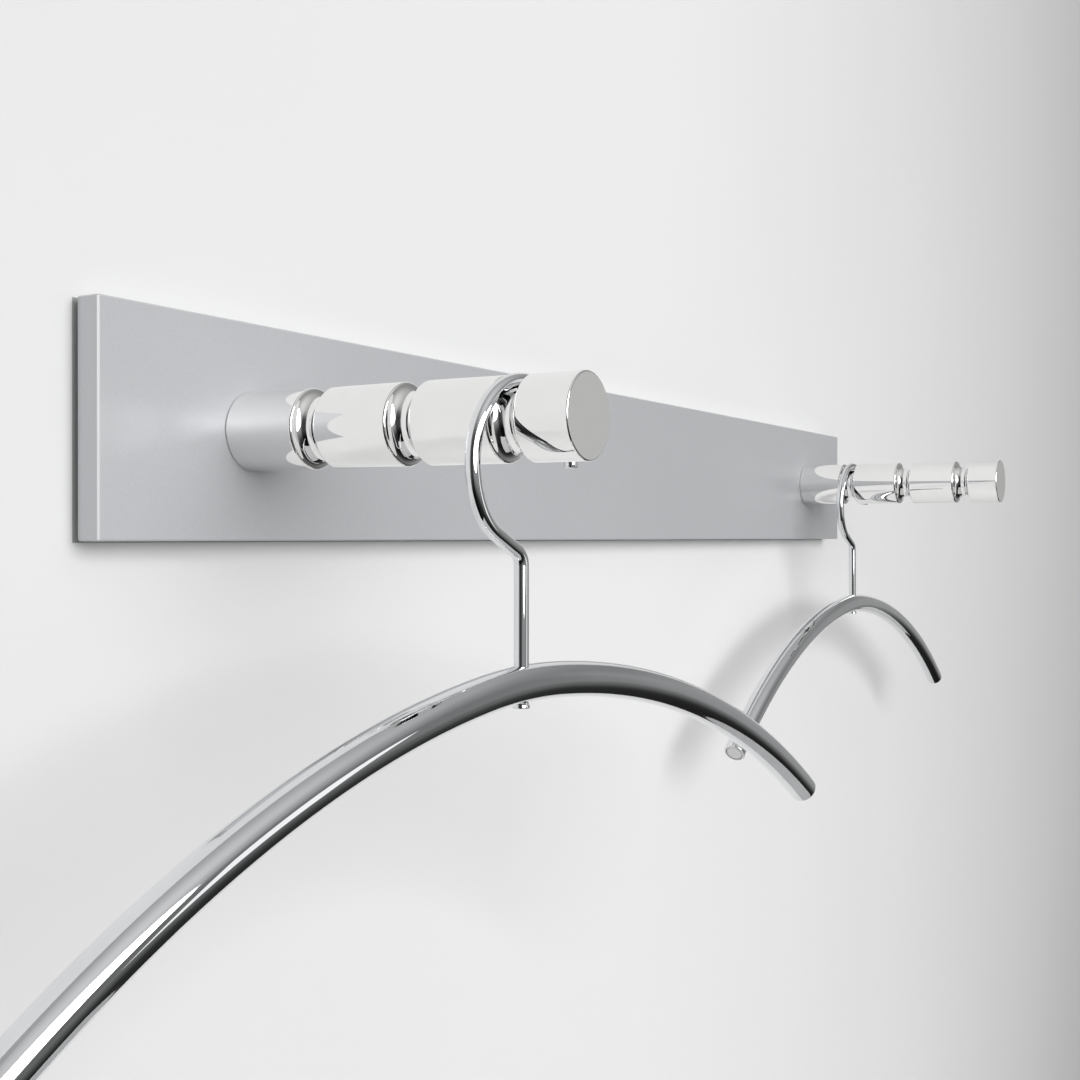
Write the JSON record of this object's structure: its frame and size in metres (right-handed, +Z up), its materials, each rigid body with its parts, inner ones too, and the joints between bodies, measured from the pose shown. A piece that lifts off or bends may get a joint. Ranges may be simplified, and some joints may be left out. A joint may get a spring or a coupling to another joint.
{
  "type": "wall coat rack",
  "caption": "Wall coat rack: a satin silver board with turned, grooved chrome pegs, and chrome hangers whose hooks swing in the grooves and whose bows swivel.",
  "frame": {"origin": "on the wall plane, behind the middle of the board", "axes": "+X right along the wall as seen from the room, +Y into the wall, +Z up"},
  "size_m": [1.0563, 0.1528, 0.2173],
  "materials": {
    "board_silver": "satin silver, fine even grain",
    "peg_chrome": "mirror polished",
    "hanger_chrome": "mirror polished",
    "plug_chrome": "satin",
    "plate_zinc": "zinc plated",
    "screw_steel": "plain steel"
  },
  "bodies": {
    "rack": {"back_board": "board_silver", "peg_left": "peg_chrome", "peg_right": "peg_chrome", "peg_screw_left": "screw_steel", "peg_screw_right": "screw_steel", "hanger_plate_left": "plate_zinc", "hanger_plate_right": "plate_zinc", "plate_screw_left_upper": "screw_steel", "plate_screw_left_lower": "screw_steel", "plate_screw_right_upper": "screw_steel", "plate_screw_right_lower": "screw_steel"},
    "hook_left": {"hook_left": "hanger_chrome"},
    "bow_left": {"bow_left": "hanger_chrome", "bow_left_plug_left": "plug_chrome", "bow_left_plug_right": "plug_chrome"},
    "hook_right": {"hook_right": "hanger_chrome"},
    "bow_right": {"bow_right": "hanger_chrome", "bow_right_plug_left": "plug_chrome", "bow_right_plug_right": "plug_chrome"}
  },
  "joints": [
    {"name": "hook_left_swing", "type": "hinge", "parent": "rack", "child": "hook_left", "pos_m": [-0.303, -0.128, 0], "axis": [0, 1, 0], "range_deg": [-25, 25]},
    {"name": "bow_left_swivel", "type": "hinge", "parent": "hook_left", "child": "bow_left", "pos_m": [-0.30355, -0.12796, -0.0867], "axis": [0.0017, -0.0001, 1], "range_deg": [-24, 32]},
    {"name": "hook_right_swing", "type": "hinge", "parent": "rack", "child": "hook_right", "pos_m": [0.303, -0.0476, 0], "axis": [0, 1, 0], "range_deg": [-25, 25]},
    {"name": "bow_right_swivel", "type": "hinge", "parent": "hook_right", "child": "bow_right", "pos_m": [0.30396, -0.04761, -0.0867], "axis": [-0.0157, 0.0002, 0.9999], "range_deg": [-8, 8]}
  ]
}
